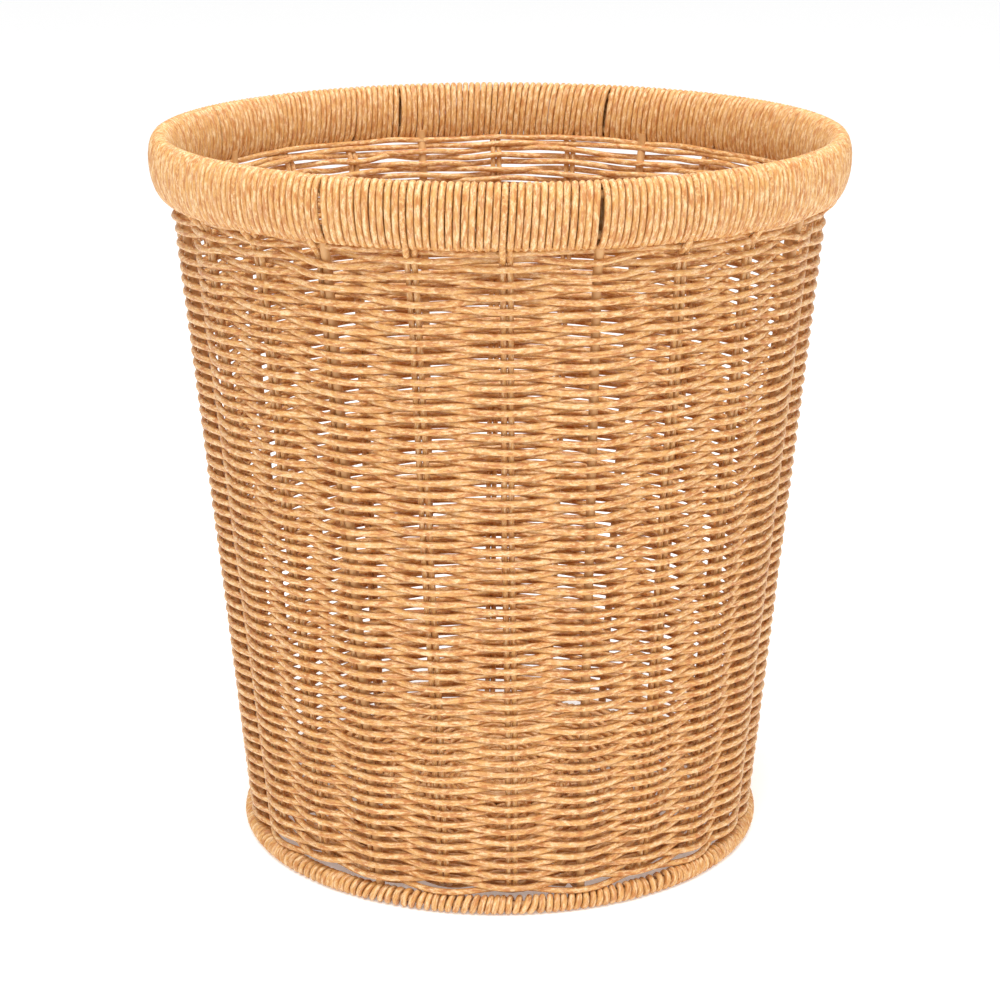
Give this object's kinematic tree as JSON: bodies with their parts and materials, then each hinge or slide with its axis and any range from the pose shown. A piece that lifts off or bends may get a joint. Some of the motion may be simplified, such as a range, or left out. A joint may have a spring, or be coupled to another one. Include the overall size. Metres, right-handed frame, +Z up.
{
  "type": "wastebasket",
  "caption": "Round tapered wastebasket, woven from thin golden strand over a wire frame, with a tall wrapped collar round its open top and a thin wrapped ring as its foot.",
  "frame": {"origin": "centre of the foot's circle, on the floor", "axes": "+Z up along the basket's own axis, the front faces -Y and +X is to the right seen from the front"},
  "size_m": [0.2662, 0.2662, 0.28],
  "materials": {
    "weaving_strand": "satin, golden marbled with orange-brown flecks",
    "wrapping_strand": "satin, golden marbled with orange-brown flecks",
    "stake_strand": "satin, golden marbled",
    "painted_rod": "satin tan paint",
    "painted_wire": "satin tan paint"
  },
  "bodies": {
    "root": {"base_hub_ring": "painted_wire", "base_spoke_1": "painted_wire", "base_spoke_2": "painted_wire", "base_spoke_3": "painted_wire", "base_spoke_4": "painted_wire", "base_spoke_5": "painted_wire", "base_spoke_6": "painted_wire", "base_spoke_7": "painted_wire", "base_spoke_8": "painted_wire", "base_weave": "weaving_strand", "foot_ring": "painted_wire", "foot_wrap": "wrapping_strand", "rim_lower_ring": "painted_wire", "rim_top_ring": "painted_wire", "rim_wrap": "wrapping_strand", "splice_strand": "stake_strand", "stake_strand_1": "stake_strand", "stake_strand_10": "stake_strand", "stake_strand_11": "stake_strand", "stake_strand_12": "stake_strand", "stake_strand_13": "stake_strand", "stake_strand_14": "stake_strand", "stake_strand_15": "stake_strand", "stake_strand_16": "stake_strand", "stake_strand_2": "stake_strand", "stake_strand_3": "stake_strand", "stake_strand_4": "stake_strand", "stake_strand_5": "stake_strand", "stake_strand_6": "stake_strand", "stake_strand_7": "stake_strand", "stake_strand_8": "stake_strand", "stake_strand_9": "stake_strand", "upright_rod_1": "painted_rod", "upright_rod_2": "painted_rod", "upright_rod_3": "painted_rod", "upright_rod_4": "painted_rod", "upright_rod_5": "painted_rod", "upright_rod_6": "painted_rod", "upright_rod_7": "painted_rod", "upright_rod_8": "painted_rod", "wall_weave": "weaving_strand"}
  },
  "joints": []
}
